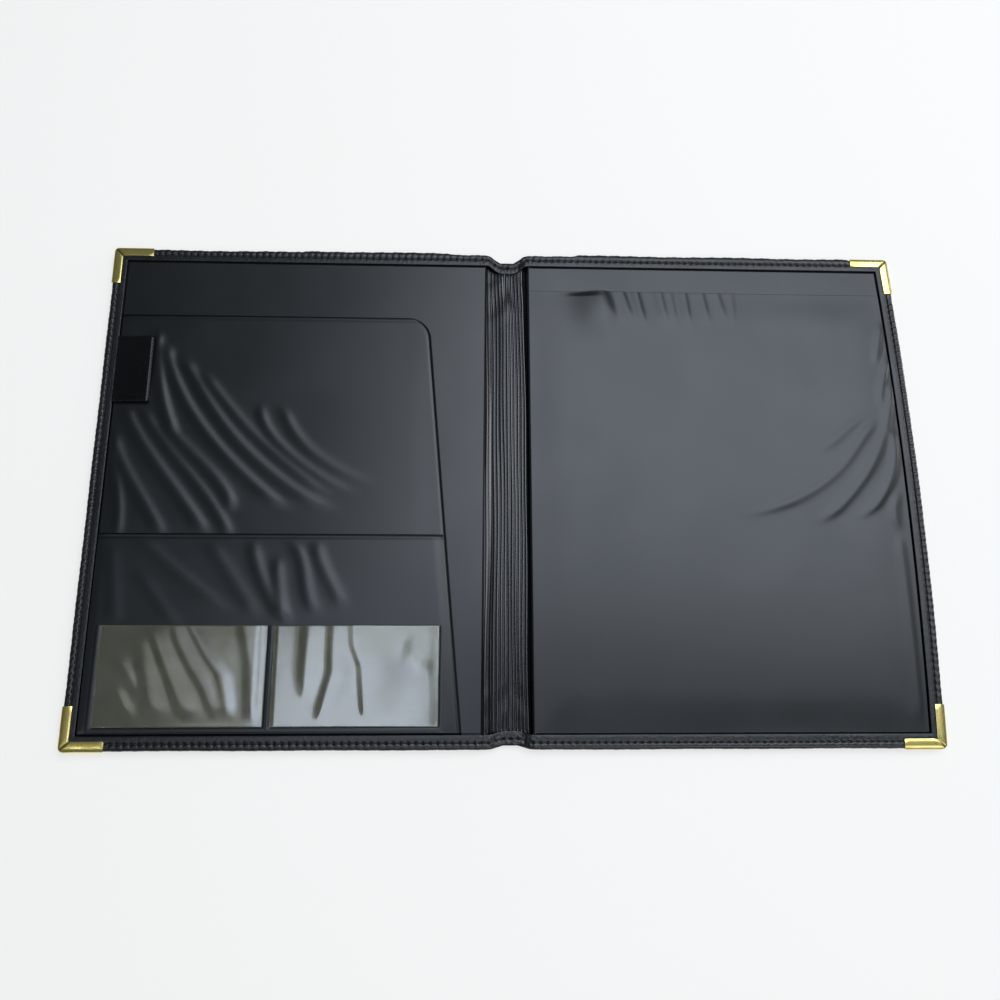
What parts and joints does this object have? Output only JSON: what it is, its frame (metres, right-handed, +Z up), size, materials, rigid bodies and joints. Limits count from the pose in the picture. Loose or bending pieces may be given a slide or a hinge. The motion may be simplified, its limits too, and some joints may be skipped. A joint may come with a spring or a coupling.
{
  "type": "padfolio",
  "caption": "Padded leatherette folder that opens flat on a folding ribbed spine, with document, card and pad pockets, a pen loop and metal-capped corners.",
  "frame": {"origin": "on the table under the middle of the spine, midway along the covers, with the folder open flat", "axes": "+X from the front cover to the back cover, +Y towards the top edge, +Z up out of the inside"},
  "size_m": [0.5092, 0.3172, 0.0123],
  "materials": {
    "skin": "pebbled black leatherette",
    "foam": "open-cell foam sheet",
    "board": "grey binder's board",
    "lining": "satin black vinyl",
    "gusset": "ribbed black vinyl",
    "thread": "black polyester thread",
    "brass": "satin pale gold plate",
    "film": "clear vinyl film"
  },
  "bodies": {
    "back_cover": {"back_skin": "skin", "back_foam": "foam", "back_board": "board", "back_lining": "lining", "pad_pocket": "lining", "back_stitching": "thread", "back_corner_top": "brass", "back_corner_bottom": "brass"},
    "spine": {"spine_skin": "skin", "spine_gusset": "gusset", "spine_stitching": "thread"},
    "front_cover": {"front_skin": "skin", "front_foam": "foam", "front_board": "board", "front_lining": "lining", "document_pocket": "lining", "lower_pocket": "lining", "card_window_outer": "film", "card_window_inner": "film", "pen_loop": "skin", "front_stitching": "thread", "front_corner_top": "brass", "front_corner_bottom": "brass"}
  },
  "joints": [
    {"name": "back_fold", "type": "hinge", "parent": "back_cover", "child": "spine", "pos_m": [0.0107, 0, 0.0024], "axis": [0, 1, 0], "range_deg": [0, 90]},
    {"name": "front_fold", "type": "hinge", "parent": "spine", "child": "front_cover", "pos_m": [-0.0107, 0, 0.0024], "axis": [0, 1, 0], "range_deg": [0, 90]}
  ]
}
